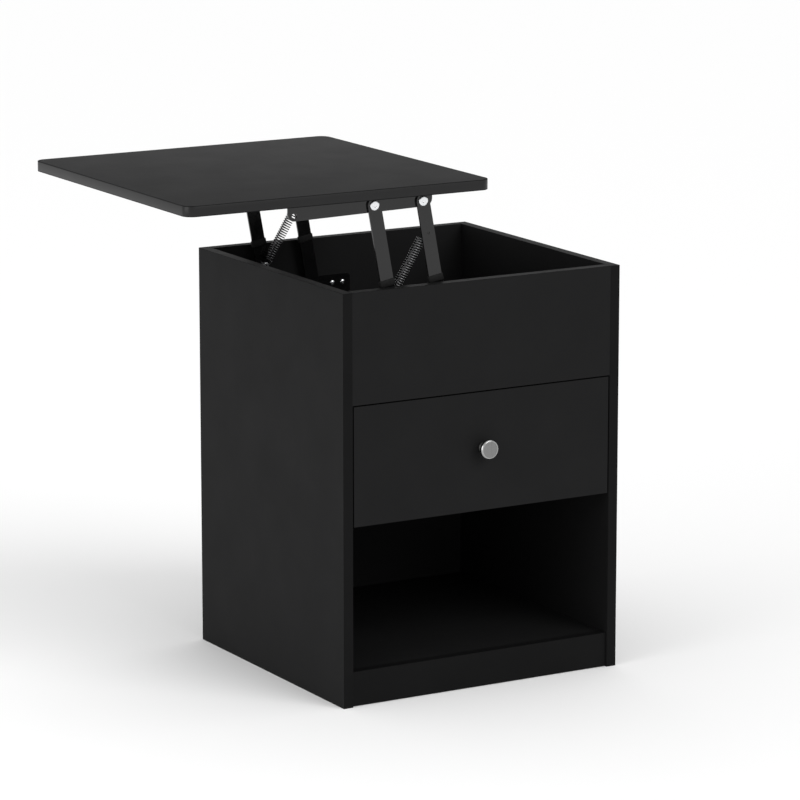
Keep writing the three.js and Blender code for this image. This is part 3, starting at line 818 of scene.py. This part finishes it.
def add_knob():
    """A turned mushroom knob with a satin face, its neck darkened with painted shade and its polished rim
    lightened with a painted highlight.
    """
    # The neck zone carries painted shade, and the rim zone carries a painted highlight.
    rim_end = KNOB_RIM_INNER_TOP - 0.01 * MM
    zones = [(KNOB_NECK_TOP, dull_nickel_painted_shade), (rim_end, polished_nickel_painted_highlight)]
    add_turned(
        "drawer_knob", knob_outline(), (0, -1, 0), nickel, sides=96, zones=zones,
    )


def add_knob_screw():
    length = node_length("knob_screw")
    screw = [
        (0, -length),
        (KNOB_SCREW_RADIUS - 0.3 * MM, -length),
        (KNOB_SCREW_RADIUS, -length + 0.4 * MM),
        (KNOB_SCREW_RADIUS, -KNOB_SCREW_HEAD),
        (KNOB_SCREW_HEAD_RADIUS, -KNOB_SCREW_HEAD),
        (KNOB_SCREW_HEAD_RADIUS, -1.3 * MM),
        (3 * MM, -0.3 * MM),
        (0, 0),
    ]
    blank = turned_mesh("knob_screw_blank", rounded(screw, radius=0.5 * MM), sides=40)
    cross = cross_cutter(reach=2.4 * MM, width=0.8 * MM, depth=1.5 * MM)
    mesh = carved("knob_screw_cut", blank, cross)
    place = facing((0, 1, 0), extreme("knob_screw", (0, 1, 0)))
    piece = finish_piece("knob_screw_detailed", mesh, zinc, "drawer", place)
    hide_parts("knob_screw")


# ---- springs ----
WIRE_RADIUS = 0.85 * MM
COIL_RADIUS = 6.15 * MM
COIL_PITCH = 3.5 * MM
COIL_STEPS = 20
HOOK_LENGTH = 10 * MM
HOOK_BEND = 3.9 * MM
HOOK_SWEEP = math.radians(285)
HOOK_STEPS = 14


def hook_path(direction):
    """A hook round a pin at the origin, from its free end to where it meets the coil."""
    points = []
    for step in range(HOOK_STEPS, -1, -1):
        angle = HOOK_SWEEP * step / HOOK_STEPS
        points.append((-direction * HOOK_BEND * math.sin(angle), HOOK_BEND * math.cos(angle), 0))
    points.append((direction * 0.4 * HOOK_LENGTH, 0.5 * (HOOK_BEND + COIL_RADIUS), 0))
    points.append((direction * (HOOK_LENGTH - 2.2 * WIRE_RADIUS), COIL_RADIUS, 0))
    return points


def spring_path(span):
    """Centreline of a tension spring between two pins: (along, aside, out) from the low pin. Each end
    leaves the coil, runs in and bends round its pin."""
    coil_length = span - 2 * HOOK_LENGTH
    count = round(coil_length / COIL_PITCH) * COIL_STEPS
    coil = []
    for step in range(count + 1):
        angle = 2 * math.pi * step / COIL_STEPS
        along = HOOK_LENGTH + coil_length * step / count
        coil.append((along, COIL_RADIUS * math.cos(angle), COIL_RADIUS * math.sin(angle)))
    high_hook = [(span + along, aside, out) for along, aside, out in reversed(hook_path(-1))]
    return hook_path(1) + coil + high_hook


def swept_wire(name, points, radius):
    """A round wire along a smooth curve through the points, with closed ends, as a mesh."""
    curve = bpy.data.curves.new(name, "CURVE")
    curve.dimensions = "3D"
    curve.bevel_depth = radius
    curve.bevel_resolution = 4
    curve.use_fill_caps = True
    spline = curve.splines.new("NURBS")
    spline.points.add(len(points) - 1)
    for point, place in zip(spline.points, points):
        point.co = (*place, 1)
    spline.order_u = 4
    spline.resolution_u = 2
    spline.use_endpoint_u = True
    guide = bpy.data.objects.new(name, curve)
    bpy.context.scene.collection.objects.link(guide)
    mesh = evaluated_mesh(guide)
    bpy.data.objects.remove(guide)
    mesh.shade_smooth()
    return mesh


def add_springs():
    for end in ENDS:
        low = centre(f"spring_pin_left_{end}")
        high = centre(f"spring_pin_right_{end}")
        low.y = high.y = centre(f"spring_coil_{end}").y
        along = (high - low).normalized()
        out = Vector((0, 1, 0))
        aside = out.cross(along)
        span = (high - low).length
        points = [low + a * along + b * aside + c * out for a, b, c in spring_path(span)]
        mesh = swept_wire(f"spring_{end}", points, WIRE_RADIUS)
        piece = finish_piece(f"tension_spring_{end}", mesh, spring_steel, None)
        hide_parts(f"spring_coil_{end}", f"spring_hook_{end}")
        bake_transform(piece)


# ---- lid ----
LID_CORNER = 15 * MM
LID_CORNER_STEPS = 14
LID_EDGE = 0.9 * MM
LID_EDGE_STEPS = 5
LID_BAND_DEPTH = 0.5 * MM
LID_BAND_EASE = 0.1 * MM
SEAM = 0.25 * MM


def lid_level(inset, height):
    """The lid's outline, drawn in by an inset, at a height."""
    low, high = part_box("lid_board")
    outline = grown_rectangle(
        low.x + LID_CORNER, high.x - LID_CORNER, low.y + LID_CORNER, high.y - LID_CORNER,
        LID_CORNER - inset, LID_CORNER_STEPS,
    )
    return outline, height


def add_lid():
    """The lid's board with softened edges, and its edge band, which a fine seam parts from the faces."""
    low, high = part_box("lid_board")
    band_low = low.z + LID_EDGE + SEAM
    band_high = high.z - LID_EDGE - SEAM
    edge = []
    for step in range(LID_EDGE_STEPS + 1):
        angle = math.radians(90 * step / LID_EDGE_STEPS)
        edge.append((LID_EDGE * (1 - math.sin(angle)), LID_EDGE * (1 - math.cos(angle))))
    board = [lid_level(inset, low.z + rise) for inset, rise in edge]
    board += [lid_level(LID_BAND_DEPTH, band_low), lid_level(LID_BAND_DEPTH, band_high)]
    board += [lid_level(inset, high.z - rise) for inset, rise in reversed(edge)]
    mesh = stacked("lid", board, closed=False)
    piece = finish_piece("lid_panel", mesh, lid_laminate, "lid")
    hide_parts("lid_board")
    band = [
        lid_level(LID_BAND_DEPTH, band_low),
        lid_level(LID_BAND_EASE, band_low),
        lid_level(0, band_low + SEAM),
        lid_level(0, band_high - SEAM),
        lid_level(LID_BAND_EASE, band_high),
        lid_level(LID_BAND_DEPTH, band_high),
    ]
    mesh = stacked("lid_band", band, closed=True)
    finish_piece("lid_edge_band", mesh, lid_banding, "lid")


# ---- edge bands of the cabinet's boards ----
# A band sinks into its board by as much as it stands out of it.
BAND_PROUD = 0.3 * MM
BAND_INSET = 0.35 * MM
BAND_EDGE = 0.12 * MM


def add_band(name, low, high):
    """A thin strip of edge band between two corners."""
    size = high - low
    mesh = bpy.data.meshes.new(name)
    signs = [(a, b, c) for a in (-0.5, 0.5) for b in (-0.5, 0.5) for c in (-0.5, 0.5)]
    vertices = [(a * size.x, b * size.y, c * size.z) for a, b, c in signs]
    faces = [(0, 1, 3, 2), (4, 6, 7, 5), (0, 4, 5, 1), (2, 3, 7, 6), (0, 2, 6, 4), (1, 5, 7, 3)]
    mesh.from_pydata(vertices, [], faces)
    place = Matrix.Translation((low + high) / 2)
    piece = finish_piece(name, mesh, banding_and_plinth_shade, "cabinet", place)
    soften(piece, BAND_EDGE, segments=2)


def add_front_band(name, board):
    low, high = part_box(board)
    add_band(
        name,
        Vector((low.x + BAND_INSET, low.y - BAND_PROUD, low.z + BAND_INSET)),
        Vector((high.x - BAND_INSET, low.y + BAND_PROUD, high.z - BAND_INSET)),
    )


def add_top_band(name, board):
    low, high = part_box(board)
    add_band(
        name,
        Vector((low.x + BAND_INSET, low.y + BAND_INSET, high.z - BAND_PROUD)),
        Vector((high.x - BAND_INSET, high.y - BAND_INSET, high.z + BAND_PROUD)),
    )


def add_bands():
    for side in SIDES:
        add_front_band(f"front_band_{side}", f"side_panel_{side}")
        add_top_band(f"top_band_{side}", f"side_panel_{side}")
    for board in ("upper_front_panel", "back_panel"):
        add_top_band(f"top_band_{board}", board)


# ---- rubber sleeves round the arms ----
ARM_HALF_WIDTH = 10.25 * MM
SLEEVE_HEIGHT = 9 * MM
SLEEVE_WALL = 1.5 * MM
SLEEVE_EASE = 0.5 * MM
SLEEVE_PLAY = 0.1 * MM
SLEEVE_ABOVE_RIM = 4 * MM
SLEEVE_CORNER_STEPS = 4


def sleeve_mesh(name, half_depth):
    """A ring round an arm's section, with its outer edges broken."""
    levels = []
    for grow, height in (
        (SLEEVE_PLAY, -0.5), (SLEEVE_WALL - SLEEVE_EASE, -0.5), (SLEEVE_WALL, -0.4),
        (SLEEVE_WALL, 0.4), (SLEEVE_WALL - SLEEVE_EASE, 0.5), (SLEEVE_PLAY, 0.5),
    ):
        outline = grown_rectangle(
            -ARM_HALF_WIDTH, ARM_HALF_WIDTH, -half_depth, half_depth, grow, SLEEVE_CORNER_STEPS,
        )
        levels.append((outline, height * SLEEVE_HEIGHT))
    return stacked(name, levels, closed=True)


def add_sleeve(arm, rim):
    """A rubber sleeve round an arm, where it rises past the cabinet's rim."""
    foot = centre(f"lower_rivet_{arm}")
    up = centre(f"upper_rivet_{arm}") - foot
    up.y = 0
    arm_low, arm_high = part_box(f"lift_arm_{arm}")
    middle = foot + (rim + SLEEVE_ABOVE_RIM - foot.z) / up.z * up
    middle.y = (arm_low.y + arm_high.y) / 2
    mesh = sleeve_mesh(f"sleeve_{arm}", (arm_high.y - arm_low.y) / 2)
    place = facing(up.normalized(), middle)
    finish_piece(f"arm_sleeve_{arm}", mesh, rubber, f"arm_{arm}", place)


def add_sleeves():
    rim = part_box("upper_front_panel")[1].z
    for end in ENDS:
        for side in SIDES:
            add_sleeve(f"{side}_{end}", rim)


dress_cad_nodes()
add_screws()
add_pins()
add_knob()
add_knob_screw()
add_springs()
add_lid()
add_bands()
add_sleeves()
